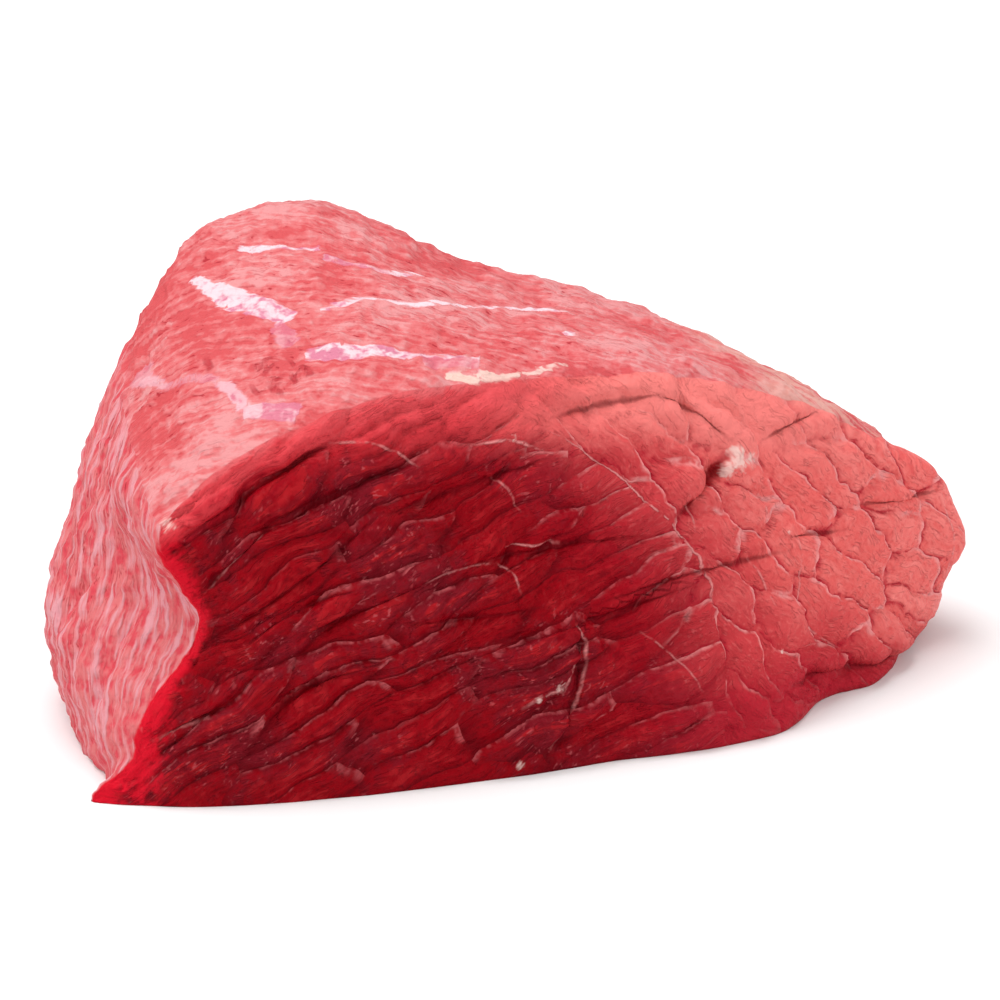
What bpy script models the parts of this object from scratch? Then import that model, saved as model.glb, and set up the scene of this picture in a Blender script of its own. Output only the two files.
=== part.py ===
"""Raw beef chuck: one boneless piece of meat, modelled as one closed solid.

The piece lies with +X from its blunt end to its tapered end, +Y from the cut face that
shows the muscle bundles to the back, and +Z up. The origin is under the middle of its
box, on the surface that it rests on. Sizes are in millimetres until the mesh is made,
which is in metres.
"""
from typing import NamedTuple

import bpy
import numpy as np
from mathutils import Vector, noise

MM = 0.001

# Driving dimensions of the block, in millimetres: four long edges from the blunt end to
# the tapered end, each given at the same stations along the piece as (x, y, z)
STATIONS = (0.0, 0.12, 0.3, 0.55, 0.8, 1.0)
LONG_EDGES = {
    "front_bottom": [
        (0, 1, -5), (20, -4.5, -5), (55, -7.5, -5), (104, -5.5, -5), (160, 2, -4), (207, 42, -3)],
    "front_top": [
        (8, 10, 60), (24, 13, 72), (52, 16, 83), (96, 22, 85), (150, 31, 75.5), (210, 42, 47)],
    "back_top": [
        (13, 91, 75), (34, 112, 97), (65, 119, 104.5), (108, 113, 83.5), (154, 94, 67), (196, 76, 41)],
    "back_bottom": [
        (6, 90, -5), (26, 103, -5), (57, 108, -5), (103, 104, -5), (150, 92, -5), (192, 80, -4)],
}

# How sharp each corner of the block is: the exponent of a rounded cube, large is sharp.
# Keys are (end, side, level): 0 is the blunt end, the front and the bottom
CORNER_SHARPNESS = {
    (0, 0, 0): 26, (0, 0, 1): 24, (0, 1, 1): 4, (0, 1, 0): 4,
    (1, 0, 0): 7, (1, 0, 1): 6, (1, 1, 1): 4, (1, 1, 0): 5,
}

# How far the faces swell from the straight block, in millimetres
BLUNT_END_SWELL = 14.5
BLUNT_END_NOTCH = 14.0
TOP_SWELL = 2.0
FRONT_SWELL = 3.0
BACK_SWELL = 5.0
TAPERED_END_SWELL = 5.0

# Local pulls on the surface: centre, reach and movement
PULLS = {
    "flap on the table": ((1, 0, 0), 13, (-10, 4, 0)),
    "lobe at the tip": ((204, 43, 24), 13, (6, 0, 0)),
    "undercut below the lip": ((166, 10, 4), 20, (0, 7, 3)),
}

# A point belongs to a face where its normal leans towards it by these shares
FACE_EDGE = (0.25, 0.65)

# What is lower than this above the lowest point lies flat on the surface below
UNDERSIDE_SLACK = 0.35

# Quads along the length, the depth and the height, and the triangles left in the solid
GRID = (120, 66, 58)
TRIANGLES = 10600

# Muscle bundles: the grain climbs by GRAIN_SLOPE, and by GRAIN_RISE more over GRAIN_RUN
# from the blunt end, and turns into short cells past CELLS_FROM
GRAIN_SLOPE = 0.30
GRAIN_RISE = 19.0
GRAIN_RUN = 35.0
BUNDLE_LENGTH = 34.0
BUNDLE_PITCH = 6.5
BUNDLE_HEIGHT = 1.5
CELLS_FROM = (112.0, 136.0)
CELL_LENGTH = 9.0
CELL_PITCH = 5.5
CELL_HEIGHT = 1.3
CELL_TILT = -35.0
END_FIBRE_LENGTH = 26.0
END_FIBRE_PITCH = 6.0
END_FIBRE_HEIGHT = 1.2
TOP_FIBRE_LENGTH = 45.0
TOP_FIBRE_PITCH = 8.0
TOP_FIBRE_TURN = 0.45
TOP_FIBRE_HEIGHT = 0.7
BACK_BUNDLE_SHARE = 0.8
SKIN_WAVE = 24.0
SKIN_WAVE_HEIGHT = 0.9
NOISE_OFFSET = 3.7

MEAT_COLOR = (0.42, 0.045, 0.05, 1.0)
MEAT_ROUGHNESS = 0.42


class Face(NamedTuple):
    """A side of the piece: its two flat axes and the direction it looks in."""

    across: int
    up: int
    facing: tuple[float, float, float]


class Groove(NamedTuple):
    """A crease between two bundles, seen on a face: a bowed line, its width and depth."""

    start: tuple[float, float]
    end: tuple[float, float]
    bow: float
    width: float
    depth: float


class Spot(NamedTuple):
    """A round fat nodule, or a pit where the height is negative."""

    centre: tuple[float, float]
    radius: float
    height: float


FRONT = Face(0, 2, (0, -1, 0))
BACK = Face(0, 2, (0, 1, 0))
END = Face(1, 2, (-1, 0, 0))
TOP = Face(0, 1, (0, 0, 1))

FRONT_GROOVES = [
    Groove((18, 60), (49, 76), 0.0, 1.8, 2.0),
    Groove((20, 47), (36, 60), 0.5, 1.4, 1.2),
    Groove((35, 61), (68, 70), 0.5, 1.5, 1.4),
    Groove((20, 36), (60, 61), -1.0, 1.5, 1.4),
    Groove((27, 34), (54, 45), 2.3, 1.4, 1.1),
    Groove((60, 60), (99, 67), 0.4, 1.6, 1.4),
    Groove((39, 36), (75, 47), 0.0, 1.4, 1.1),
    Groove((75, 47), (119, 48), 1.0, 1.5, 1.2),
    Groove((30, 16), (52, 28), 2.5, 1.6, 1.6),
    Groove((8, 15), (22, 22), 0.6, 1.2, 1.0),
    Groove((62, 37), (96, 36), -0.5, 1.3, 0.9),
    Groove((84, 28), (130, 36), 0.0, 1.4, 1.1),
    Groove((108, 35), (156, 38), 2.0, 1.3, 1.0),
    Groove((97, 72), (129, 74), 1.0, 1.3, 0.9),
    Groove((157, 41), (172, 38), 0.0, 1.2, 1.0),
    Groove((178, 42), (204, 37), -0.5, 1.2, 1.0),
    Groove((157, 13), (196, 5), 0.5, 2.0, 2.2),
    Groove((104, 32), (96, 4), 2.0, 1.7, 1.4),
]

FRONT_SPOTS = [
    Spot((145, 59), 3.4, 2.0),
    Spot((137, 58), 4.6, -2.8),
    Spot((132, 54), 3.0, -1.8),
    Spot((92, 15), 2.4, 1.2),
    Spot((96, 8), 2.8, 1.4),
    Spot((99, 20), 2.2, 1.0),
    Spot((92, 72), 2.2, 1.0),
    Spot((157, 42), 2.0, 0.9),
]

END_GROOVES = [
    Groove((22, 8), (30, 44), 2.0, 1.8, 1.2),
    Groove((44, 6), (42, 40), -2.0, 2.0, 1.3),
    Groove((66, 12), (56, 52), 2.0, 1.8, 1.1),
]


def smooth_step(values: np.ndarray, low: float, high: float) -> np.ndarray:
    """Rises smoothly from 0 at low to 1 at high."""
    w = np.clip((values - low) / (high - low), 0, 1)
    return w * w * (3 - 2 * w)


def edge_curve(points: list[tuple[float, float, float]], t: np.ndarray) -> np.ndarray:
    """Points of the smooth curve through one long edge's stations, at the shares t."""
    stations = np.array(STATIONS)
    values = np.array(points, float)
    slopes = np.gradient(values, stations, axis=0)
    k = np.clip(np.searchsorted(stations, t) - 1, 0, len(stations) - 2)
    span = (stations[k + 1] - stations[k])[:, None]
    u = ((t - stations[k])[:, None]) / span
    return (
        (2 * u**3 - 3 * u**2 + 1) * values[k]
        + (u**3 - 2 * u**2 + u) * span * slopes[k]
        + (3 * u**2 - 2 * u**3) * values[k + 1]
        + (u**3 - u**2) * span * slopes[k + 1]
    )


def cube_grid() -> tuple[np.ndarray, np.ndarray]:
    """A cube from -1 to 1 as quads: its points and, for each quad, four of their numbers."""
    nx, ny, nz = GRID
    sides = [
        (nx, nz, lambda i, j: (i, -1, j)),
        (nx, nz, lambda i, j: (-i, 1, j)),
        (nx, ny, lambda i, j: (i, j, 1)),
        (nx, ny, lambda i, j: (i, -j, -1)),
        (ny, nz, lambda i, j: (-1, -i, j)),
        (ny, nz, lambda i, j: (1, i, j)),
    ]
    numbers: dict[tuple[float, ...], int] = {}
    quads = []
    for columns, rows, place in sides:
        side = np.empty((columns + 1, rows + 1), int)
        for a in range(columns + 1):
            for b in range(rows + 1):
                point = place(2 * a / columns - 1, 2 * b / rows - 1)
                key = tuple(round(value, 6) + 0.0 for value in point)
                side[a, b] = numbers.setdefault(key, len(numbers))
        corners = (side[:-1, :-1], side[1:, :-1], side[1:, 1:], side[:-1, 1:])
        quads.append(np.stack([corner.ravel() for corner in corners], 1))
    return np.array(list(numbers)), np.concatenate(quads)


def rounded(cube: np.ndarray) -> np.ndarray:
    """The cube's points drawn in to a rounded cube, each corner by its own sharpness."""
    share = (cube + 1) / 2
    power = np.zeros(len(cube))
    for corner, sharpness in CORNER_SHARPNESS.items():
        weight = [share[:, axis] if at_end else 1 - share[:, axis] for axis, at_end in enumerate(corner)]
        power += np.prod(weight, axis=0) * sharpness
    return cube / ((np.abs(cube) ** power[:, None]).sum(1) ** (1 / power))[:, None]


def crown(values: np.ndarray) -> np.ndarray:
    """One in the middle of a side, falling to nothing at its edges."""
    return 1 - values**2


def block(cube: np.ndarray) -> np.ndarray:
    """The smooth piece without its relief: the rounded cube spread between the long edges."""
    a, b, c = rounded(cube).T
    t, y, z = (a + 1) / 2, ((b + 1) / 2)[:, None], ((c + 1) / 2)[:, None]
    edge = {name: edge_curve(points, t) for name, points in LONG_EDGES.items()}
    p = (1 - y) * ((1 - z) * edge["front_bottom"] + z * edge["front_top"])
    p += y * ((1 - z) * edge["back_bottom"] + z * edge["back_top"])
    blunt = np.clip(-a, 0, 1)
    swell = crown(b) * np.exp(-(((c + 0.18) / 0.85) ** 2)) * (0.7 + 0.4 * y[:, 0])
    notch = np.exp(-(((c - 0.3) / 0.42) ** 2)) * smooth_step(-b, -0.3, 1)
    p[:, 0] -= BLUNT_END_SWELL * swell * blunt**3
    p[:, 0] += BLUNT_END_NOTCH * notch * blunt**5
    p[:, 0] += TAPERED_END_SWELL * crown(b) * crown(c) * np.clip(a, 0, 1) ** 3
    p[:, 1] -= FRONT_SWELL * crown(a) * crown(c) * np.clip(-b, 0, 1)
    p[:, 1] += BACK_SWELL * crown(a) * crown(c) * np.clip(b, 0, 1)
    p[:, 2] += TOP_SWELL * crown(a) * crown(b) * np.clip(c, 0, 1) ** 2
    for centre, reach, movement in PULLS.values():
        near = smooth_step(1 - np.linalg.norm(p - np.array(centre), axis=1) / reach, 0, 1)
        p += np.outer(near, movement)
    return p


def normals_of(points: np.ndarray, quads: np.ndarray) -> np.ndarray:
    """The outward unit normal at each point of a closed quad mesh."""
    a, b, c, d = (points[quads[:, k]] for k in range(4))
    flat = np.cross(c - a, d - b)
    normals = np.zeros_like(points)
    for k in range(4):
        np.add.at(normals, quads[:, k], flat)
    return normals / np.linalg.norm(normals, axis=1)[:, None]


def groove_height(flat: np.ndarray, groove: Groove) -> np.ndarray:
    """Height of a crease over points of its face: a valley with a swollen upper side."""
    start, end = np.array(groove.start, float), np.array(groove.end, float)
    length = np.linalg.norm(end - start)
    along = (end - start) / length
    up = np.array((-along[1], along[0]))
    u = (flat - start) @ along / length
    inside = np.clip(u, 0, 1)
    v = (flat - start) @ up - groove.bow * 4 * inside * (1 - inside)
    beyond = (u - inside) * length
    distance = np.hypot(v, beyond)
    ends = smooth_step(inside, -0.02, 0.18) * smooth_step(1 - inside, -0.02, 0.18)
    valley = -groove.depth * np.exp(-((distance / groove.width) ** 2))
    lip = 0.45 * groove.depth * np.exp(-(((v - 2.2 * groove.width) / (1.6 * groove.width)) ** 2))
    return (valley + lip * (beyond == 0)) * ends


def spot_height(flat: np.ndarray, spot: Spot) -> np.ndarray:
    """Height of a nodule or a pit over points of its face."""
    distance = np.linalg.norm(flat - np.array(spot.centre, float), axis=1)
    return spot.height * np.exp(-((distance / spot.radius) ** 2) * 1.5)


def rough(along: np.ndarray, across: np.ndarray, third: np.ndarray) -> np.ndarray:
    """Smooth noise from -1 to 1, one lump for each unit of its three coordinates."""
    lumps = zip(along, across, third + NOISE_OFFSET)
    return np.array([noise.noise(Vector(place)) for place in lumps])


def bundle_height(points: np.ndarray) -> np.ndarray:
    """Height of the muscle bundles on the front: long ones at the left, cells at the right."""
    x, y, z = points.T
    climb = GRAIN_SLOPE * x + GRAIN_RISE * (1 - np.exp(-np.clip(x, 0, None) / GRAIN_RUN))
    long_ones = BUNDLE_HEIGHT * rough(x / BUNDLE_LENGTH, (z - climb) / BUNDLE_PITCH, y / BUNDLE_LENGTH)
    tilt = np.radians(CELL_TILT)
    along = x * np.cos(tilt) + z * np.sin(tilt)
    across = z * np.cos(tilt) - x * np.sin(tilt)
    cells = CELL_HEIGHT * rough(along / CELL_LENGTH, across / CELL_PITCH, y / BUNDLE_LENGTH)
    turned = smooth_step(x, *CELLS_FROM)
    return long_ones * (1 - turned) + cells * turned


def end_height(points: np.ndarray) -> np.ndarray:
    """Height of the steep fibres on the blunt end."""
    x, y, z = points.T
    return END_FIBRE_HEIGHT * rough(x / SKIN_WAVE, (y + 0.3 * z) / END_FIBRE_PITCH, z / END_FIBRE_LENGTH)


def top_height(points: np.ndarray) -> np.ndarray:
    """Height of the low fibres that run along the top."""
    x, y, z = points.T
    across = (y + TOP_FIBRE_TURN * x) / TOP_FIBRE_PITCH
    return TOP_FIBRE_HEIGHT * rough(x / TOP_FIBRE_LENGTH, across, z / TOP_FIBRE_LENGTH)


def skin_height(points: np.ndarray) -> np.ndarray:
    """Height of the low waves all over the piece."""
    return SKIN_WAVE_HEIGHT * rough(*(points.T / SKIN_WAVE))


def share_of(face: Face, normals: np.ndarray) -> np.ndarray:
    """How far each point belongs to a face, from 0 to 1, by the way its normal looks."""
    return smooth_step(normals @ np.array(face.facing, float), *FACE_EDGE)


def relief(points: np.ndarray, normals: np.ndarray) -> np.ndarray:
    """Height of the whole relief at each point, along its normal."""
    bundles = bundle_height(points)
    flat = points[:, [FRONT.across, FRONT.up]]
    front = bundles + sum(groove_height(flat, groove) for groove in FRONT_GROOVES)
    front += sum(spot_height(flat, spot) for spot in FRONT_SPOTS)
    flat = points[:, [END.across, END.up]]
    end = end_height(points) + sum(groove_height(flat, groove) for groove in END_GROOVES)
    height = skin_height(points)
    height += share_of(FRONT, normals) * front
    height += share_of(BACK, normals) * bundles * BACK_BUNDLE_SHARE
    height += share_of(END, normals) * end
    height += share_of(TOP, normals) * top_height(points)
    return height


def meat_points() -> tuple[np.ndarray, np.ndarray]:
    """The piece with its relief and its flat underside: points in millimetres, and quads."""
    cube, quads = cube_grid()
    points = block(cube)
    normals = normals_of(points, quads)
    points += normals * relief(points, normals)[:, None]
    points[:, 2] = np.maximum(points[:, 2], 0)
    return points, quads


def meat_material() -> bpy.types.Material:
    """Raw meat, dark red and moist."""
    material = bpy.data.materials.new("raw_meat")
    material.use_nodes = True
    shader = material.node_tree.nodes["Principled BSDF"]
    shader.inputs["Base Color"].default_value = MEAT_COLOR
    shader.inputs["Roughness"].default_value = MEAT_ROUGHNESS
    shader.inputs["Metallic"].default_value = 0.0
    return material


def thinned(points: np.ndarray, quads: np.ndarray) -> bpy.types.Mesh:
    """The dense quad mesh reduced to the solid's triangles, in metres."""
    dense = bpy.data.meshes.new("dense")
    dense.from_pydata((points * MM).tolist(), [], quads.tolist())
    carrier = bpy.data.objects.new("dense", dense)
    bpy.context.collection.objects.link(carrier)
    reduce = carrier.modifiers.new("reduce", "DECIMATE")
    reduce.ratio = TRIANGLES / (2 * len(quads))
    reduce.use_collapse_triangulate = True
    evaluated = carrier.evaluated_get(bpy.context.evaluated_depsgraph_get())
    mesh = bpy.data.meshes.new_from_object(evaluated)
    bpy.data.objects.remove(carrier)
    bpy.data.meshes.remove(dense)
    return mesh


def centre_on_base(mesh: bpy.types.Mesh) -> None:
    """Presses the underside flat, with the origin under the middle of the mesh's box."""
    corners = np.array([vertex.co[:] for vertex in mesh.vertices])
    low, high = corners.min(0), corners.max(0)
    middle = Vector(((low[0] + high[0]) / 2, (low[1] + high[1]) / 2, low[2]))
    for vertex in mesh.vertices:
        vertex.co -= middle
        if vertex.co.z < UNDERSIDE_SLACK * MM:
            vertex.co.z = 0


def make_meat() -> bpy.types.Object:
    """The whole piece as one object."""
    mesh = thinned(*meat_points())
    mesh.name = "beef_chuck"
    centre_on_base(mesh)
    mesh.materials.clear()
    mesh.materials.append(meat_material())
    mesh.shade_smooth()
    meat = bpy.data.objects.new("beef_chuck", mesh)
    bpy.context.collection.objects.link(meat)
    return meat


for old in list(bpy.data.objects):
    bpy.data.objects.remove(old)
make_meat()
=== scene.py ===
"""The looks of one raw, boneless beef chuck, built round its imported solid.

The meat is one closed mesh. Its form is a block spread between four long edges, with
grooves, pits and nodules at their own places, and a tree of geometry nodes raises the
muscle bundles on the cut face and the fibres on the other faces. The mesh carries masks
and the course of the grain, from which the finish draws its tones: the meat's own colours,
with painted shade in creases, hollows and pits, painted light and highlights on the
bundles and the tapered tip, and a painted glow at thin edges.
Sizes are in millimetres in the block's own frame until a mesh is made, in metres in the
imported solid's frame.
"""
from __future__ import annotations

import logging
import math
from collections.abc import Callable, Iterable, Sequence
from dataclasses import dataclass, field
from enum import Enum

import bpy
import numpy as np
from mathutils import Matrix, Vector

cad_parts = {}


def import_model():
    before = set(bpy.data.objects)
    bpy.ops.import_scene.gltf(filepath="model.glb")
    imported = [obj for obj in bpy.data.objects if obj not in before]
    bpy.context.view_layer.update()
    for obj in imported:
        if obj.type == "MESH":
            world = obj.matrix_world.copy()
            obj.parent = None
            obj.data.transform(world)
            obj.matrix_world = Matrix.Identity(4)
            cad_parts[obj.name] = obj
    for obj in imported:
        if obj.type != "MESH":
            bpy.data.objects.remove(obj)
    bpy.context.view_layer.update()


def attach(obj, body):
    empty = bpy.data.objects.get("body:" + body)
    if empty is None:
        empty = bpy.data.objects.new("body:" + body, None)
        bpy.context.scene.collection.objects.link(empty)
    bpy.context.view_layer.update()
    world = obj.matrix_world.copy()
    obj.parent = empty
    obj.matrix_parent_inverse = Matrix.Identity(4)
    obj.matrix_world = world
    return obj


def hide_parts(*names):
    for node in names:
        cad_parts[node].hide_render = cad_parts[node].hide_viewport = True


LOG = logging.getLogger("beef_chuck")
MM = 0.001
NODE = "beef_chuck"
BODY = "root"

Point2 = tuple[float, float]
Point3 = tuple[float, float, float]
Colour = tuple[float, float, float]


class Wire:
    """An output socket whose Python operators add Math nodes to its tree."""

    def __init__(self, tree: Tree, socket: bpy.types.NodeSocket) -> None:
        """Keeps the tree and the socket."""
        self.tree = tree
        self.socket = socket

    def __add__(self, other: Wire | float) -> Wire:
        """Sum."""
        return self.tree.math("ADD", self, other)

    def __sub__(self, other: Wire | float) -> Wire:
        """Difference."""
        return self.tree.math("SUBTRACT", self, other)

    def __rsub__(self, other: Wire | float) -> Wire:
        """Difference from a number."""
        return self.tree.math("SUBTRACT", other, self)

    def __mul__(self, other: Wire | float) -> Wire:
        """Product."""
        return self.tree.math("MULTIPLY", self, other)

    def __truediv__(self, other: Wire | float) -> Wire:
        """Quotient."""
        return self.tree.math("DIVIDE", self, other)

    def __pow__(self, other: Wire | float) -> Wire:
        """Power."""
        return self.tree.math("POWER", self, other)

    def __abs__(self) -> Wire:
        """Absolute value."""
        return self.tree.math("ABSOLUTE", self)

    __radd__ = __add__
    __rmul__ = __mul__

    def least(self, other: Wire | float) -> Wire:
        """The smaller of two values."""
        return self.tree.math("MINIMUM", self, other)

    def most(self, other: Wire | float) -> Wire:
        """The larger of two values."""
        return self.tree.math("MAXIMUM", self, other)

    def more_than(self, other: float) -> Wire:
        """1 where the value is above a number and 0 elsewhere."""
        return self.tree.math("GREATER_THAN", self, other)

    def step(self, low: float, high: float) -> Wire:
        """Rises smoothly from 0 at low to 1 at high, or falls where low is the larger."""
        inputs = {0: self, 1: min(low, high), 2: max(low, high), 3: 0.0, 4: 1.0}
        if low > high:
            inputs.update({3: 1.0, 4: 0.0})
        return self.tree.node("ShaderNodeMapRange", {"interpolation_type": "SMOOTHSTEP"}, inputs)

    def dome(self, reach: float) -> Wire:
        """A rounded rise from 0 at a border to 1 at reach from it."""
        left = 1 - (self / reach).least(1.0)
        return 1 - left * left


class Tree:
    """A shader or geometry node tree that is written with Python expressions."""

    def __init__(self, nodes: bpy.types.NodeTree) -> None:
        """Keeps the tree."""
        self.nodes = nodes

    def feed(self, socket: bpy.types.NodeSocket, value: object) -> None:
        """Links a wire to a socket, or sets the socket's own value.

        Args:
            socket: The input to feed.
            value: A wire, a number, a vector, a colour or a data-block.
        """
        if isinstance(value, Wire):
            self.nodes.links.new(value.socket, socket)
        elif socket.type == "RGBA" and len(value) == 3:
            socket.default_value = (*value, 1.0)
        else:
            socket.default_value = value

    def add(self, kind: str, settings: dict | None = None, inputs: dict | None = None) -> bpy.types.Node:
        """Adds one node.

        Args:
            kind: The node's type name.
            settings: Properties, which are set before the inputs.
            inputs: Socket names or numbers with their wires or values.

        Returns:
            The node.
        """
        made = self.nodes.nodes.new(kind)
        for name, value in (settings or {}).items():
            setattr(made, name, value)
        for key, value in (inputs or {}).items():
            self.feed(made.inputs[key], value)
        return made

    def node(self, kind: str, settings: dict | None = None, inputs: dict | None = None,
             output: int | str = 0) -> Wire:
        """Adds one node as add does and hands back one of its outputs."""
        return Wire(self, self.add(kind, settings, inputs).outputs[output])

    def math(self, operation: str, *values: Wire | float) -> Wire:
        """A Math node on one, two or three values."""
        return self.node("ShaderNodeMath", {"operation": operation}, dict(enumerate(values)))

    def vector_math(self, operation: str, *values: Wire | Sequence[float]) -> Wire:
        """A Vector Math node on vectors."""
        return self.node("ShaderNodeVectorMath", {"operation": operation}, dict(enumerate(values)))

    def mix(self, factor: Wire | float, first: Wire | Colour, second: Wire | Colour) -> Wire:
        """The first colour where the factor is 0 and the second where it is 1."""
        inputs = {0: factor, 6: first, 7: second}
        return self.node("ShaderNodeMix", {"data_type": "RGBA"}, inputs, 2)

    def join(self, x: Wire | float, y: Wire | float, z: Wire | float) -> Wire:
        """A vector from three values."""
        return self.node("ShaderNodeCombineXYZ", None, {0: x, 1: y, 2: z})

    def split(self, vector: Wire) -> tuple[Wire, Wire, Wire]:
        """The three values of a vector."""
        parts = self.add("ShaderNodeSeparateXYZ", None, {0: vector})
        return tuple(Wire(self, output) for output in parts.outputs)

    def noise(self, vector: Wire, detail: float = 2.0, output: int = 0, flat: bool = False) -> Wire:
        """Smooth noise with a lump for each unit of the vector, from about 0.2 to 0.8.

        Args:
            vector: The coordinates.
            detail: How many finer layers it has.
            output: 0 for one value, 1 for three values as a colour.
            flat: Whether it reads only the first two coordinates.
        """
        settings = {"noise_dimensions": "2D" if flat else "3D"}
        inputs = {"Vector": vector, "Scale": 1.0, "Detail": detail, "Roughness": 0.55}
        return self.node("ShaderNodeTexNoise", settings, inputs, output)

    def cells(self, x: Wire, y: Wire) -> tuple[Wire, Wire, Wire, Wire]:
        """Flat, irregular cells a unit wide.

        Args:
            x, y: The coordinates.

        Returns:
            The distance from the cells' borders, a random tone for each cell, and how far
            each point lies along and across from its cell's middle.
        """
        vector = self.join(x, y, 0.0)
        inputs = {"Vector": vector, "Scale": 1.0, "Randomness": 0.9}
        settings = {"voronoi_dimensions": "2D", "feature": "DISTANCE_TO_EDGE"}
        border = self.node("ShaderNodeTexVoronoi", settings, inputs, "Distance")
        nearest = self.add("ShaderNodeTexVoronoi", {"voronoi_dimensions": "2D", "feature": "F1"}, inputs)
        tone = self.split(Wire(self, nearest.outputs["Color"]))[0]
        middle = Wire(self, nearest.outputs["Position"])
        out, up, _ = self.split(self.vector_math("SUBTRACT", vector, middle))
        return border, tone, out, up


class Side(Enum):
    """A side of the meat with its two flat axes."""

    FRONT = (0, 2)
    END = (1, 2)
    TOP = (0, 1)

    def flat(self, points: np.ndarray) -> np.ndarray:
        """The points' places in the side's two axes."""
        return points[:, list(self.value)]


def smooth_step(values: np.ndarray, low: float, high: float) -> np.ndarray:
    """Rises smoothly from 0 at low to 1 at high."""
    w = np.clip((values - low) / (high - low), 0, 1)
    return w * w * (3 - 2 * w)


def bell(values: np.ndarray, middle: float, reach: float) -> np.ndarray:
    """1 at the middle, with a smooth fall to both sides."""
    return np.exp(-(((values - middle) / reach) ** 2))


@dataclass(frozen=True)
class Arc:
    """A bowed line on a side of the meat.

    Attributes:
        start, end: Its ends, in the side's two axes.
        bow: How far its middle stands to the left of the straight line.
        width: Half the width of what it draws.
        strength: The height or the share of colour of what it draws.
    """

    start: Point2
    end: Point2
    bow: float = 0.0
    width: float = 1.0
    strength: float = 1.0

    def measure(self, flat: np.ndarray) -> tuple[np.ndarray, np.ndarray, np.ndarray]:
        """Where points lie by the line.

        Args:
            flat: Points in the side's two axes.

        Returns:
            The offset to the left of the line, the distance from it, and the share of
            its length.
        """
        start, end = np.array(self.start, float), np.array(self.end, float)
        length = np.linalg.norm(end - start)
        along = (end - start) / length
        left = np.array((-along[1], along[0]))
        u = (flat - start) @ along / length
        inside = np.clip(u, 0, 1)
        offset = (flat - start) @ left - self.bow * 4 * inside * (1 - inside)
        return offset, np.hypot(offset, (u - inside) * length), inside

    def groove(self, flat: np.ndarray) -> np.ndarray:
        """Height of a groove along the line: a valley with a swollen upper side."""
        offset, distance, inside = self.measure(flat)
        ends = smooth_step(inside, -0.02, 0.18) * smooth_step(1 - inside, -0.02, 0.18)
        valley = -self.strength * bell(distance, 0, self.width)
        lip = bell(offset, 2.2 * self.width, 1.6 * self.width)
        level = np.isclose(np.abs(offset), distance)
        return (valley + 0.45 * self.strength * lip * level) * ends


@dataclass(frozen=True)
class Spot:
    """A nodule on the cut face, or a pit where the height is negative.

    Attributes:
        centre: Its middle, in the front's two axes.
        radius, height: Its size.
        fat: The radius of its pale middle as a share of the radius, 0 for none.
        pale: How pale the middle is, up to 1.
    """

    centre: Point2
    radius: float
    height: float
    fat: float = 0.0
    pale: float = 1.0

    def reach(self, points: np.ndarray, facing: np.ndarray) -> np.ndarray:
        """Distance in radii from the front's point at the centre.

        Args:
            points: The smooth block.
            facing: How far each point belongs to the front.
        """
        away = np.linalg.norm(Side.FRONT.flat(points) - np.array(self.centre, float), axis=1)
        middle = points[np.where(facing > 0.5, away, np.inf).argmin()]
        return np.linalg.norm(points - middle, axis=1) / self.radius


@dataclass(frozen=True)
class SkinPatch:
    """A strip of silver skin on the top.

    Attributes:
        start, end: Its ends, seen from above.
        bow: How far its middle stands to the left of the straight line.
        half_start, half_end: Half its width at the ends.
        cream: How much of it is cream fat, up to 1.
        solid: How opaque it is, up to 1.
    """

    start: Point2
    end: Point2
    bow: float
    half_start: float
    half_end: float
    cream: float = 0.0
    solid: float = 1.0

    def outside(self, flat: np.ndarray) -> np.ndarray:
        """Distance outside the strip's border, negative inside it."""
        offset, distance, inside = Arc(self.start, self.end, self.bow).measure(flat)
        beyond = np.sqrt(np.clip(distance**2 - offset**2, 0, None))
        half = self.half_start * (1 - inside) + self.half_end * inside
        return np.maximum(np.abs(offset) - half, np.where(beyond > 0, beyond, -half))


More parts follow.
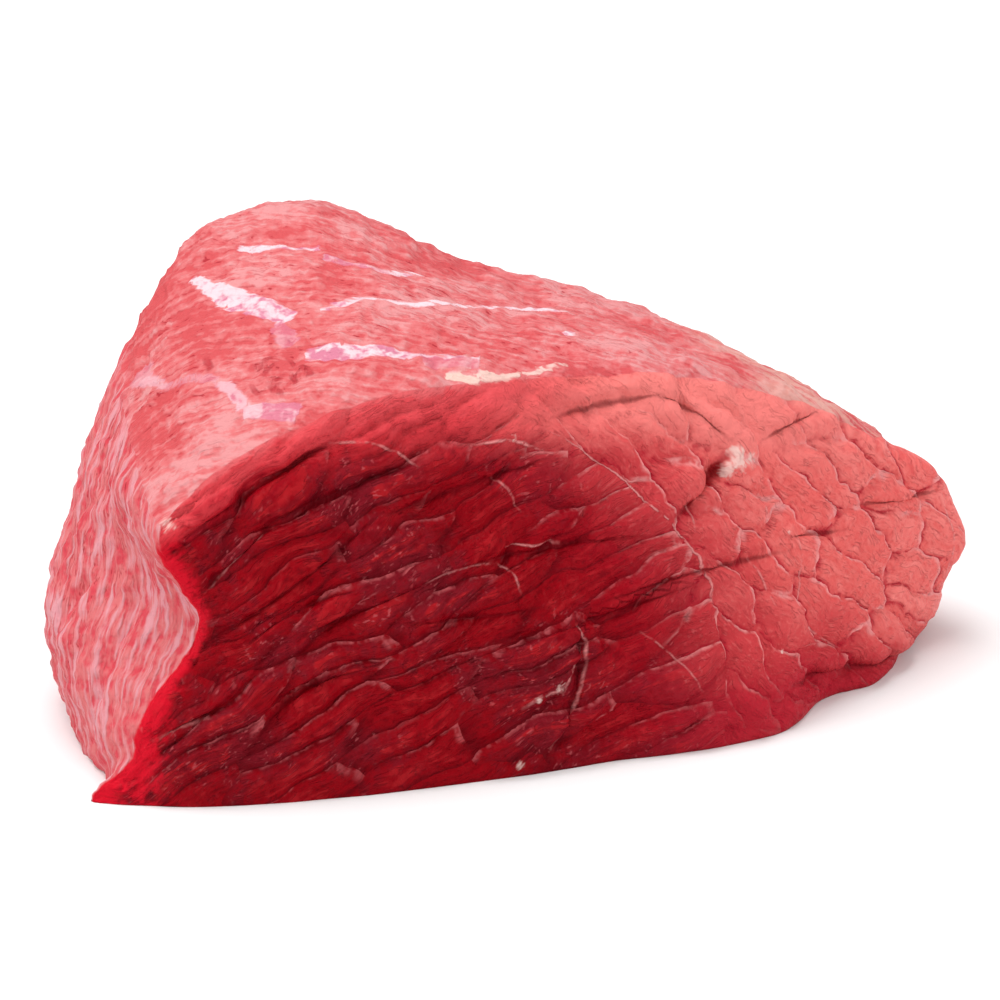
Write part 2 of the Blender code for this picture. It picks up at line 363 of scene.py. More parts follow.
@dataclass
class ChuckForm:
    """The smooth block of meat.

    Attributes:
        stations: Shares of the length at which the long edges have their points.
        front_bottom, front_top, back_top, back_bottom: The long edges.
        sharpness: How sharp each corner is, by its end along x, y and z.
        blunt_swell, blunt_notch: How far the blunt end stands out and is cut in.
        blunt_swell_at, blunt_notch_at: Their middle and reach up the end, from -1 to 1.
        tapered_swell, top_swell, front_swell, back_swell: How far the others stand out.
        side_edge: Half the width of the change from one side's finish to the next.
        pulls: Places with their reach and the movement of the points near them.
    """

    stations: Sequence[float] = (0.0, 0.12, 0.3, 0.55, 0.8, 1.0)
    front_bottom: Sequence[Point3] = (
        (0, 1, -5), (20, -4.5, -5), (55, -7.5, -5), (104, -5.5, -5), (160, 2, -4), (207, 42, -3))
    front_top: Sequence[Point3] = (
        (8, 10, 60), (24, 13, 72), (52, 16, 83), (96, 22, 85), (150, 31, 75.5), (210, 42, 47))
    back_top: Sequence[Point3] = (
        (13, 91, 75), (34, 112, 97), (65, 119, 104.5), (108, 113, 83.5), (154, 94, 67), (196, 76, 41))
    back_bottom: Sequence[Point3] = (
        (6, 90, -5), (26, 103, -5), (57, 108, -5), (103, 104, -5), (150, 92, -5), (192, 80, -4))
    sharpness: dict[tuple[int, int, int], float] = field(default_factory=lambda: {
        (0, 0, 0): 26, (0, 0, 1): 24, (0, 1, 1): 4, (0, 1, 0): 4,
        (1, 0, 0): 7, (1, 0, 1): 6, (1, 1, 1): 4, (1, 1, 0): 5})
    blunt_swell: float = 14.5
    blunt_notch: float = 14.0
    blunt_swell_at: Point2 = (-0.18, 0.85)
    blunt_notch_at: Point2 = (0.3, 0.42)
    tapered_swell: float = 5.0
    top_swell: float = 2.0
    front_swell: float = 3.0
    back_swell: float = 5.0
    side_edge: float = 0.06
    pulls: Sequence[tuple[Point3, float, Point3]] = (
        ((1, 0, 0), 13, (-10, 4, 0)),
        ((204, 43, 24), 13, (6, 0, 0)),
        ((166, 10, 4), 20, (0, 7, 3)))

    def edge(self, points: Sequence[Point3], t: np.ndarray) -> np.ndarray:
        """Points of the smooth curve through a long edge's stations, at the shares t."""
        stations = np.array(self.stations)
        values = np.array(points, float)
        slopes = np.gradient(values, stations, axis=0)
        k = np.clip(np.searchsorted(stations, t) - 1, 0, len(stations) - 2)
        span = (stations[k + 1] - stations[k])[:, None]
        u = ((t - stations[k])[:, None]) / span
        return ((2 * u**3 - 3 * u**2 + 1) * values[k] + (u**3 - 2 * u**2 + u) * span * slopes[k]
                + (3 * u**2 - 2 * u**3) * values[k + 1] + (u**3 - u**2) * span * slopes[k + 1])

    def rounded(self, cube: np.ndarray) -> np.ndarray:
        """A cube's points drawn in to a rounded cube, each corner by its own sharpness."""
        share = (cube + 1) / 2
        power = np.zeros(len(cube))
        for corner, sharpness in self.sharpness.items():
            weight = [share[:, k] if at_end else 1 - share[:, k] for k, at_end in enumerate(corner)]
            power += np.prod(weight, axis=0) * sharpness
        return cube / ((np.abs(cube) ** power[:, None]).sum(1) ** (1 / power))[:, None]

    def block(self, cube: np.ndarray) -> np.ndarray:
        """The smooth piece: the rounded cube spread between the long edges."""
        a, b, c = self.rounded(cube).T
        t, y, z = (a + 1) / 2, ((b + 1) / 2)[:, None], ((c + 1) / 2)[:, None]
        p = (1 - y) * ((1 - z) * self.edge(self.front_bottom, t) + z * self.edge(self.front_top, t))
        p += y * ((1 - z) * self.edge(self.back_bottom, t) + z * self.edge(self.back_top, t))
        crown_a, crown_b, crown_c = 1 - a**2, 1 - b**2, 1 - c**2
        blunt = np.clip(-a, 0, 1)
        swell = crown_b * bell(c, *self.blunt_swell_at) * (0.7 + 0.4 * y[:, 0])
        notch = bell(c, *self.blunt_notch_at) * smooth_step(-b, -0.3, 1)
        p[:, 0] += self.blunt_notch * notch * blunt**5 - self.blunt_swell * swell * blunt**3
        p[:, 0] += self.tapered_swell * crown_b * crown_c * np.clip(a, 0, 1) ** 3
        p[:, 1] -= self.front_swell * crown_a * crown_c * np.clip(-b, 0, 1)
        p[:, 1] += self.back_swell * crown_a * crown_c * np.clip(b, 0, 1)
        p[:, 2] += self.top_swell * crown_a * crown_b * np.clip(c, 0, 1) ** 2
        for centre, reach, movement in self.pulls:
            near = smooth_step(1 - np.linalg.norm(p - np.array(centre), axis=1) / reach, 0, 1)
            p += np.outer(near, movement)
        return p

    def sides(self, cube: np.ndarray) -> dict[str, np.ndarray]:
        """How far each point of the cube belongs to the cut, the top or the blunt end."""
        a, b, c = cube.T
        cut = np.max((np.abs(b), a, -c), axis=0) - np.max((-a, c), axis=0)
        blunt = -a - np.max((c, np.abs(b)), axis=0)
        share = {"cut": smooth_step(cut, -self.side_edge, self.side_edge),
                 "end": smooth_step(blunt, -self.side_edge, self.side_edge)}
        share["top"] = np.clip(1 - share["cut"] - share["end"], 0, 1)
        return share


def cube_grid(columns: int, depth_rows: int, rows: int) -> tuple[np.ndarray, np.ndarray]:
    """A cube from -1 to 1 as quads.

    Args:
        columns: Quads along the length.
        depth_rows: Quads from front to back.
        rows: Quads up the height.

    Returns:
        The points, and the numbers of four points for each quad.
    """
    sides: list[tuple[int, int, Callable[[float, float], Point3]]] = [
        (columns, rows, lambda i, j: (i, -1, j)),
        (columns, rows, lambda i, j: (-i, 1, j)),
        (columns, depth_rows, lambda i, j: (i, j, 1)),
        (columns, depth_rows, lambda i, j: (i, -j, -1)),
        (depth_rows, rows, lambda i, j: (-1, -i, j)),
        (depth_rows, rows, lambda i, j: (1, i, j)),
    ]
    numbers: dict[tuple[float, ...], int] = {}
    quads = []
    for across, up, place in sides:
        side = np.empty((across + 1, up + 1), int)
        for a in range(across + 1):
            for b in range(up + 1):
                point = place(2 * a / across - 1, 2 * b / up - 1)
                side[a, b] = numbers.setdefault(tuple(round(v, 6) + 0.0 for v in point), len(numbers))
        corners = (side[:-1, :-1], side[1:, :-1], side[1:, 1:], side[:-1, 1:])
        quads.append(np.stack([corner.ravel() for corner in corners], 1))
    return np.array(list(numbers)), np.concatenate(quads)


def normals_of(points: np.ndarray, quads: np.ndarray) -> np.ndarray:
    """The outward unit normal at each point of a closed quad mesh."""
    a, b, c, d = (points[quads[:, k]] for k in range(4))
    flat = np.cross(c - a, d - b)
    normals = np.zeros_like(points)
    for k in range(4):
        np.add.at(normals, quads[:, k], flat)
    return normals / np.linalg.norm(normals, axis=1)[:, None]


@dataclass
class Marks:
    """What lies at its own place on the meat.

    Attributes:
        front_grooves, end_grooves: Creases of the cut face and of the blunt end; those of the cut face are
            also darkened with painted shade.
        front_spots: Nodules and pits of the cut face, and a pale painted highlight at its upper left corner.
        threads: Thin pale lines on the cut face.
        wrinkles: Thin dark lines on the top.
        skin_patches: Strips of silver skin and of cream fat on the top.
    """

    front_grooves: Sequence[Arc] = (
        Arc((18, 60), (49, 76), 0.0, 1.6, 2.0),
        Arc((20, 47), (36, 60), 0.5, 1.2, 1.2),
        Arc((35, 61), (68, 70), 0.5, 1.4, 1.4),
        Arc((20, 36), (60, 61), -1.0, 1.3, 1.4),
        Arc((27, 34), (54, 45), 2.3, 1.2, 1.1),
        Arc((60, 60), (99, 67), 0.4, 1.5, 1.4),
        Arc((39, 36), (75, 47), 0.0, 1.2, 1.1),
        Arc((75, 47), (119, 48), 1.0, 1.2, 1.2),
        Arc((30, 16), (52, 28), 2.5, 1.5, 1.6),
        Arc((8, 15), (22, 22), 0.6, 1.0, 1.0),
        Arc((62, 37), (96, 36), -0.5, 1.1, 0.9),
        Arc((84, 28), (130, 36), 0.0, 1.2, 1.1),
        Arc((108, 35), (156, 38), 2.0, 1.1, 1.0),
        Arc((103, 75), (128, 75.5), 0.8, 1.1, 1.1),
        Arc((127, 75.5), (143, 64), 1.8, 1.0, 1.0),
        Arc((155, 62), (168, 63.5), 0.6, 0.8, 1.1),
        Arc((130, 51), (142, 60), -0.5, 1.7, 2.0),
        Arc((157, 41), (172, 38), 0.0, 0.9, 1.0),
        Arc((178, 42), (204, 37), -0.5, 0.7, 1.0),
        Arc((157, 8.5), (196, 1), 0.5, 1.8, 2.2),
        Arc((104, 32), (96, 4), 2.0, 1.4, 1.4))
    end_grooves: Sequence[Arc] = (
        Arc((22, 8), (30, 44), 2.0, 1.6, 1.2),
        Arc((44, 6), (42, 40), -2.0, 1.8, 1.3),
        Arc((66, 12), (56, 52), 2.0, 1.6, 1.1))
    front_spots: Sequence[Spot] = (
        Spot((145.5, 59.5), 3.0, 1.6, 0.9),
        Spot((142.5, 57.8), 2.6, 0.8, 0.7),
        Spot((149, 58.5), 2.2, 0.4, 0.7),
        Spot((141, 58), 2.2, -1.3),
        Spot((138, 57), 2.8, -1.5),
        Spot((133, 53), 2.0, -0.8),
        Spot((98, 18.5), 2.0, 0.3, 0.9, 0.5),
        Spot((93, 16.5), 1.8, 0.3, 0.8, 0.4),
        Spot((92, 72), 1.5, 0.4, 0.8, 0.5),
        Spot((157, 42), 1.5, 0.3, 0.7, 0.5),
        Spot((153, 18), 1.0, 0.1, 0.8, 0.6),
        Spot((88, 3), 2.0, 0.3, 0.7, 0.6),
        # a pale painted highlight at the upper left corner, in the fat's colour, with no height
        Spot((13, 62), 3.2, 0.0, 0.9, 0.55))
    threads: Sequence[Arc] = (
        Arc((83, 72), (98, 69), 1.2, 0.35, 1.0),
        Arc((51, 76), (64, 73), 1.0, 0.3, 0.7),
        Arc((64, 73), (68, 70), 0.2, 0.3, 0.8),
        Arc((69, 45), (86, 47), 1.0, 0.25, 0.5),
        Arc((86, 47), (90, 41), 0.8, 0.3, 0.7),
        Arc((89, 50), (100, 49), 0.3, 0.25, 0.9),
        Arc((147, 38), (151, 29), 0.5, 0.25, 0.7),
        Arc((159, 40), (158, 25), 1.2, 0.25, 0.7),
        Arc((158, 25), (170, 12), -1.0, 0.25, 0.6),
        Arc((119, 27), (131, 14), 1.0, 0.25, 0.6),
        Arc((204, 35), (205, 15), 1.5, 0.3, 0.8),
        Arc((21, 47), (35, 59), 0.8, 0.25, 0.4),
        Arc((87, 64), (91, 58), 0.8, 0.3, 0.7),
        Arc((103, 31), (105, 24), 1.0, 0.35, 0.8),
        Arc((105, 24), (96, 6), 1.4, 0.35, 0.6),
        Arc((90, 15.5), (99, 17.5), 0.8, 0.45, 0.9),
        Arc((99, 17.5), (103, 25), -0.6, 0.4, 0.8),
        Arc((149, 54), (152, 46), 0.4, 0.25, 0.8),
        Arc((132, 54), (133, 48), 0.3, 0.25, 0.7),
        Arc((8, 15), (20, 20), 0.5, 0.4, 0.4))
    wrinkles: Sequence[Arc] = (
        Arc((46.3, 38.9), (46.9, 36.4), 0.3, 0.45),
        Arc((40.5, 35.9), (43.0, 37.7), 0.4, 0.4),
        Arc((41.4, 32.9), (43.4, 33.6), -0.3, 0.6),
        Arc((45.7, 32.8), (45.9, 30.3), 0.3, 0.6),
        Arc((48.8, 31.5), (50.3, 30.2), 0.2, 0.7),
        Arc((38.5, 39.8), (40.7, 38.5), 0.2, 0.6),
        Arc((37.1, 33.5), (37.7, 30.6), -0.3, 0.5),
        Arc((40.5, 31.8), (40.7, 29.3), 0.3, 0.6),
        Arc((41.6, 29.9), (42.2, 27.5), 0.3, 0.5),
        Arc((47.9, 35.0), (49.7, 32.6), 0.2, 0.4),
        Arc((30.1, 50.8), (30.1, 46.3), 0.4, 0.7),
        Arc((40.9, 40.5), (43.7, 40.8), 0.3, 0.4))
    skin_patches: Sequence[SkinPatch] = (
        SkinPatch((34, 82), (40, 68), 0.0, 0.9, 3.3),
        SkinPatch((40, 68), (50, 53), 0.0, 3.3, 2.7),
        SkinPatch((47, 52), (48, 44), 0.0, 1.4, 2.8, 0.0, 0.5),
        SkinPatch((50, 38.5), (58, 36.5), 0.0, 1.6, 3.0),
        SkinPatch((58, 36.5), (72, 32.5), 0.0, 3.0, 1.6),
        SkinPatch((72, 32.5), (88, 30), 0.0, 1.4, 1.2, 0.0, 0.9),
        SkinPatch((75, 30), (87, 28), 0.0, 2.6, 2.6, 0.0, 0.4),
        SkinPatch((79, 24), (86, 22.5), 0.4, 1.3, 1.8, 1.0),
        SkinPatch((86, 24), (96, 24.5), -0.8, 1.5, 0.7, 0.9),
        SkinPatch((97, 25), (107, 27.5), 0.4, 0.9, 0.5, 0.8),
        SkinPatch((57, 54), (81, 55), 0.8, 1.0, 0.9),
        SkinPatch((81, 55), (102, 61), 0.4, 0.9, 0.8),
        SkinPatch((102, 61), (117, 61), 0.4, 0.8, 1.0),
        SkinPatch((18, 67), (18, 60), 0.0, 2.4, 1.8, 0.0, 0.45),
        SkinPatch((18, 60), (21, 52), 0.4, 1.2, 0.8, 0.0, 0.6),
        SkinPatch((21, 52), (31, 41), 1.0, 0.8, 1.1, 0.0, 0.45),
        SkinPatch((31, 41), (34, 28), 0.5, 1.0, 1.5, 0.0, 0.7),
        SkinPatch((34, 27), (44, 20), 0.0, 2.0, 2.8, 0.0, 0.75),
        SkinPatch((46, 86), (63, 80), -0.8, 1.0, 1.7),
        SkinPatch((63, 75), (77, 70), 0.0, 1.0, 1.3, 0.0, 0.7),
        SkinPatch((77, 70), (90, 73), 0.8, 0.9, 0.8),
        SkinPatch((112, 46), (115, 46), 0.0, 1.2, 0.9))


@dataclass
class Meat:
    """The meat's one closed mesh, with its relief and the masks that its finish reads.

    Attributes:
        form: The block.
        marks: What lies on it.
        columns, depth_rows, rows: Quads along it, from front to back and up.
        far: The distance that stands for no line near.
        origin: The point of the block's frame that is the origin of the solid's frame.
    """

    form: ChuckForm = field(default_factory=ChuckForm)
    marks: Marks = field(default_factory=Marks)
    columns: int = 260
    depth_rows: int = 60
    rows: int = 104
    far: float = 9.0
    origin: Point3 = (102.0, 57.0, 0.0)

    def nearest(self, flat: np.ndarray, arcs: Iterable[Arc]) -> np.ndarray:
        """The nearest line to each point.

        Args:
            flat: Points in the side's two axes.
            arcs: The lines.

        Returns:
            For each point the offset from the nearest line, the distance from it and its
            strength, which fades at the line's ends.
        """
        found = np.tile((self.far, self.far, 0.0), (len(flat), 1))
        for arc in arcs:
            offset, distance, inside = arc.measure(flat)
            fade = smooth_step(inside, -0.1, 0.2) * smooth_step(1 - inside, -0.1, 0.2)
            nearer = distance < found[:, 1]
            values = np.stack((offset / arc.width, distance, arc.strength * fade), 1)
            found[nearer] = values[nearer]
        return found

    def points(self) -> tuple[np.ndarray, np.ndarray, dict[str, np.ndarray]]:
        """Makes the block with its grooves and spots.

        Returns:
            The points in millimetres, the quads, and the masks by name: one value or three
            for each point.
        """
        cube, quads = cube_grid(self.columns, self.depth_rows, self.rows)
        smooth = self.form.block(cube)
        normals = normals_of(smooth, quads)
        share = self.form.sides(cube)
        front, end, top = (side.flat(smooth) for side in Side)
        faces_front = share["cut"] * smooth_step(-cube[:, 1], 0.5, 0.9)
        spots = [(spot, spot.reach(smooth, faces_front)) for spot in self.marks.front_spots]
        cut = sum(arc.groove(front) for arc in self.marks.front_grooves)
        cut += sum(spot.height * np.exp(-1.5 * reach**2) for spot, reach in spots)
        blunt = sum(arc.groove(end) for arc in self.marks.end_grooves)
        height = faces_front * cut + share["end"] * blunt
        fat = np.min([reach / spot.fat + 1 - spot.pale for spot, reach in spots if spot.fat], axis=0)
        pit = np.min([reach for spot, reach in spots if spot.height < 0], axis=0)
        skin = np.array([patch.outside(top) for patch in self.marks.skin_patches])
        kinds = np.array([(patch.cream, patch.solid) for patch in self.marks.skin_patches])
        masks = {
            "place": smooth,
            "side": np.stack((share["cut"], share["end"], share["top"]), 1),
            "thread": self.nearest(front, self.marks.threads),
            # the nearest groove of the cut face, along which painted shade is laid
            "crease": self.nearest(front, self.marks.front_grooves),
            "wrinkle": self.nearest(top, self.marks.wrinkles),
            "skin": np.column_stack((skin.min(0), kinds[skin.argmin(0)])),
            "below": self.below_top(smooth),
            "spot": np.stack((fat, pit, faces_front), 1),
            "cube": cube,
        }
        points = smooth + normals * height[:, None]
        return points, quads, masks

    def below_top(self, points: np.ndarray) -> np.ndarray:
        """How far the points lie below the front's upper edge."""
        line = np.linspace(-1, 1, 80)
        side = np.full_like(line, -1)
        upper = self.form.block(np.stack((line, side, -side), 1))
        return np.interp(points[:, 0], upper[:, 0], upper[:, 2]) - points[:, 2]

    def mesh(self) -> bpy.types.Mesh:
        """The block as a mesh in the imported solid's frame, with its masks as attributes."""
        points, quads, masks = self.points()
        made = bpy.data.meshes.new(NODE)
        made.from_pydata(self.placed(points).tolist(), [], quads.tolist())
        for name, values in masks.items():
            kind, word = ("FLOAT", "value") if values.ndim == 1 else ("FLOAT_VECTOR", "vector")
            made.attributes.new(name, kind, "POINT").data.foreach_set(word, values.ravel())
        made.shade_smooth()
        return made

    def placed(self, points: np.ndarray) -> np.ndarray:
        """Moves points from millimetres in the block's frame to the solid's frame."""
        return (points - np.array(self.origin)) * MM


@dataclass(frozen=True)
class Bundle:
    """Length, width and height of one kind of muscle bundle, in millimetres."""

    name: str
    length: float
    width: float
    height: float


LONG = Bundle("Long bundle", 26.0, 6.6, 1.8)
FLAKE = Bundle("Flake", 8.0, 2.6, 0.55)
CELL = Bundle("Cell", 20.0, 7.5, 1.7)
CRUMB = Bundle("Crumb", 7.0, 3.0, 0.3)
HALF_LENGTH = 100.0
HALF_DEPTH = 45.0
GRAIN_SLOPE = 0.30
GRAIN_RISE = 19.0
GRAIN_RUN = 35.0
CELL_TILT = math.radians(-44.0)
BUNDLE_BORDER = 0.34
CHAIN_FOOT = 136.5
CHAIN_BEND = 34.0
CHAIN_LEAN = 0.15
CHAIN_CURVE = 1.5
CHAIN_BLEND: Point2 = (-7.0, 8.0)
TOP_SLANT = 0.45
TOP_STRIP: Point2 = (26.0, 4.5)
END_UP = 45.0
END_ACROSS = 46.0
END_SLANT = 15.0
END_BAND: Point2 = (45.0, 6.0)
END_FIBRE: Point2 = (30.0, 4.5)
FOOT_RISE: Point2 = (0.0, 6.0)
TIP: Point2 = (188.0, 206.0)
TIP_FLATTENING = 0.6


@dataclass(frozen=True)
class Swirl:
    """Noise that bends the grain.

    Attributes:
        broad, fine: The size of its lumps along x, y and z, in millimetres.
        push, crook: How far the broad and the fine noise move things along the grain.
        lift, kink: How far they move things across the grain.
    """

    broad: Point3 = (24.0, 24.0, 16.0)
    fine: Point3 = (8.0, 8.0, 7.0)
    push: float = 14.0
    crook: float = 5.0
    lift: float = 9.0
    kink: float = 2.5


@dataclass(frozen=True)
class Strand:
    """One kind of bundle at each point.

    Attributes:
        border: Distance from the borders, in widths.
        tone: A random value for each bundle.
        out, up: Place along and across the bundle, from its middle.
    """

    border: Wire
    tone: Wire
    out: Wire
    up: Wire

    def height(self) -> Wire:
        """A dome over each bundle, some higher than others, its upper right end the highest."""
        return self.border.dome(BUNDLE_BORDER) * (0.35 + self.tone + (self.up + self.out * 0.6) * 0.9)

    def lit_rim(self, width: float) -> Wire:
        """The line along the upper right border, where a painted highlight is laid: the raised end of a
        bundle catches the light there.
        """
        return self.border.step(width, width * 0.2) * (self.up * 1.3 + self.out).step(0.05, 0.4)

    def crease(self, width: float) -> Wire:
        """The painted shade along the lower left border, below each bundle's dome."""
        return self.border.step(width, 0.0) * (self.up + self.out * 0.5).step(0.1, -0.25)


@dataclass(frozen=True)
class Grain:
    """Coordinates that follow the muscle on the cut face, in millimetres.

    Attributes:
        along, across: Along and across the long bundles.
        past: Distance to the right of the chain, where the long bundles end.
        cell_along, cell_across: Along and across the cells at the tapered end.
        broad: Broad noise, which on the blunt end follows the fibres.
    """

    along: Wire
    across: Wire
    past: Wire
    cell_along: Wire
    cell_across: Wire
    broad: Wire

    def spot(self, kind: Bundle, length: Wire | float, width: Wire | float) -> tuple[Wire, Wire]:
        """Where a point lies among bundles of one kind, in lengths and in widths."""
        cell_like = kind in (CELL, CRUMB)
        along = self.cell_along if cell_like else self.along
        across = self.cell_across if cell_like else self.across
        return along / length + len(kind.name), across / width + len(kind.name)

    def strand(self, left: Bundle, right: Bundle) -> Strand:
        """Bundles of one kind at the left of the chain and of another at its right."""
        zone = self.past.more_than(0.0)
        pairs = zip(self.spot(left, left.length, left.width), self.spot(right, right.length, right.width))
        along, across = (a * (1 - zone) + b * zone for a, b in pairs)
        return Strand(*self.along.tree.cells(along, across))


class MeatRelief:
    """The geometry nodes that raise bundles and fibres on the block."""

    def __init__(self, material: bpy.types.Material) -> None:
        """Builds the tree."""
        self.group = bpy.data.node_groups.new("meat_relief", "GeometryNodeTree")
        self.group.is_modifier = True
        self.values: dict[str, float] = {}
        face = self.group.interface
        face.new_socket("Geometry", in_out="INPUT", socket_type="NodeSocketGeometry")
        face.new_socket("Geometry", in_out="OUTPUT", socket_type="NodeSocketGeometry")
        for kind in (LONG, FLAKE, CELL, CRUMB):
            for word in ("length", "width", "height"):
                self.add_size(f"{kind.name} {word}", getattr(kind, word))
        for name, value in (("Top lump height", 3.8), ("Top strip height", 2.6), ("End fibre height", 3.0),
                            ("Wave height", 2.0)):
            self.add_size(name, value)
        self.tree = Tree(self.group)
        self.entry = self.tree.add("NodeGroupInput")
        self.build(material)

    def add_size(self, name: str, value: float) -> None:
        """Adds a named input of the tree with its size in millimetres."""
        socket = self.group.interface.new_socket(name, in_out="INPUT", socket_type="NodeSocketFloat")
        self.values[socket.identifier] = value

    def size(self, name: str) -> Wire:
        """A named input of the tree."""
        return Wire(self.tree, self.entry.outputs[name])

    def mask(self, name: str) -> tuple[Wire, Wire, Wire]:
        """The three values of an attribute of the block."""
        settings = {"data_type": "FLOAT_VECTOR"}
        return self.tree.split(self.tree.node("GeometryNodeInputNamedAttribute", settings, {"Name": name}))

    def bundle_height(self, grain: Grain, kind: Bundle) -> Wire:
        """Height of one kind of bundle."""
        length, width, height = (self.size(f"{kind.name} {word}") for word in ("length", "width", "height"))
        return Strand(*self.tree.cells(*grain.spot(kind, length, width))).height() * height

    def lumps(self, fibre: tuple[Wire, Wire], size: Point2) -> Wire:
        """Noise round 0 with lumps of a length and a width along a fibre."""
        along, across = (place / measure for place, measure in zip(fibre, size))
        return self.tree.noise(self.tree.join(along, across, 0.0), 2.0, 0, True) - 0.5

    def grain(self, crook: Wire, kink: Wire, patchy: Wire) -> Grain:
        """The course of the muscle, bent by the swirl.

        Args:
            crook, kink: Fine noise along and across the grain.
            patchy: Broad noise.
        """
        push, lift, (x, _, z), (_, b, c) = self.push, self.lift, self.place, self.cube
        climb = x * GRAIN_SLOPE + GRAIN_RISE * (1 - self.tree.math("EXPONENT", x.most(0.0) / -GRAIN_RUN))
        cos, sin = math.cos(CELL_TILT), math.sin(CELL_TILT)
        past = x - CHAIN_FOOT + (z - CHAIN_BEND).most(0.0) ** CHAIN_CURVE * CHAIN_LEAN + push * 0.4
        self.end_fibre = c * END_UP + push * 0.3, b * END_ACROSS - c * END_SLANT + crook * 3
        bands = self.lumps(self.end_fibre, END_BAND) + 0.5
        return Grain(
            along=x + push,
            across=z - climb + lift,
            past=past,
            cell_along=x * cos + z * sin + push * 0.5 + crook * 3.5,
            cell_across=z * cos - x * sin + lift * 0.6 + kink * 3.5,
            broad=bands * self.end + patchy * (1 - self.end))

    def height(self, grain: Grain, patchy: Wire, lump: Wire) -> Wire:
        """The height of the relief on every side, in metres."""
        share = grain.past.step(*CHAIN_BLEND)
        left = self.bundle_height(grain, LONG) + self.bundle_height(grain, FLAKE)
        right = self.bundle_height(grain, CELL) + self.bundle_height(grain, CRUMB)
        bundles = (left * (1 - share) + right * share - 1.0) * self.place[2].step(*FOOT_RISE)
        height = self.cut * bundles * (1 - self.place[0].step(*TIP) * TIP_FLATTENING)
        height = height + (1 - self.cut) * (lump - 0.5) * self.size("Top lump height")
        height = height + self.top * self.lumps(self.top_fibre, TOP_STRIP) * self.size("Top strip height")
        height = height + self.end * self.lumps(self.end_fibre, END_FIBRE) * self.size("End fibre height")
        return (height + (patchy - 0.5) * self.size("Wave height")) * MM

    def build(self, material: bpy.types.Material) -> None:
        """Stores the grain, moves the points, flattens the underside and sets the material."""
        tree, swirl = self.tree, Swirl()
        self.place, self.cube = self.mask("place"), self.mask("cube")
        self.cut, self.end, self.top = self.mask("side")
        broad, fine = (tree.join(*(axis / size for axis, size in zip(self.place, sizes)))
                       for sizes in (swirl.broad, swirl.fine))
        push, lift, patchy = tree.split(tree.noise(broad, 1.0, 1))
        crook, kink, lump = tree.split(tree.noise(fine, 2.0, 1))
        push, lift, crook, kink = (noise - 0.5 for noise in (push, lift, crook, kink))
        self.push = push * swirl.push + crook * swirl.crook
        self.lift = lift * swirl.lift + kink * swirl.kink
        x, y, _ = self.place
        self.top_fibre = x + self.push, y + x * TOP_SLANT + self.lift * 0.5
        grain = self.grain(crook, kink, patchy)
        height = self.height(grain, patchy, lump)

        offset = tree.vector_math("MULTIPLY", tree.node("GeometryNodeInputNormal"),
                                  tree.join(height, height, height))
        block = Wire(tree, self.entry.outputs["Geometry"])
        raised = tree.node("GeometryNodeSetPosition", None, {"Geometry": block, "Offset": offset})
        stored = {
            "grain": (grain.along, grain.across, grain.past),
            "cell_grain": (grain.cell_along, grain.cell_across, grain.broad),
            "top_fibre": (*self.top_fibre, 0.0),
            "end_fibre": (*self.end_fibre, 0.0),
        }
        for name, values in stored.items():
            settings = {"data_type": "FLOAT_VECTOR", "domain": "POINT"}
            inputs = {"Geometry": raised, "Name": name, "Value": tree.join(*values)}
            raised = tree.node("GeometryNodeStoreNamedAttribute", settings, inputs)
        east, north, up = tree.split(tree.node("GeometryNodeInputPosition"))
        level = tree.join(east, north, up.most(0.0))
        flat = tree.node("GeometryNodeSetPosition", None, {"Geometry": raised, "Position": level})
        real = tree.node("GeometryNodeRealizeInstances", None, {0: flat})
        dressed = tree.node("GeometryNodeSetMaterial", None, {"Geometry": real, "Material": material})
        tree.add("NodeGroupOutput", None, {"Geometry": dressed})

    def apply(self, mesh: bpy.types.Mesh) -> bpy.types.Mesh:
        """Runs the tree on a mesh.

        Args:
            mesh: The block with its attributes, which is used up.

        Returns:
            The raised mesh, plain.
        """
        carrier = bpy.data.objects.new("block", mesh)
        bpy.context.collection.objects.link(carrier)
        modifier = carrier.modifiers.new("relief", "NODES")
        modifier.node_group = self.group
        for identifier, value in self.values.items():
            modifier[identifier] = value
        evaluated = carrier.evaluated_get(bpy.context.evaluated_depsgraph_get())
        made = bpy.data.meshes.new_from_object(evaluated)
        bpy.data.objects.remove(carrier)
        bpy.data.meshes.remove(mesh)
        return made


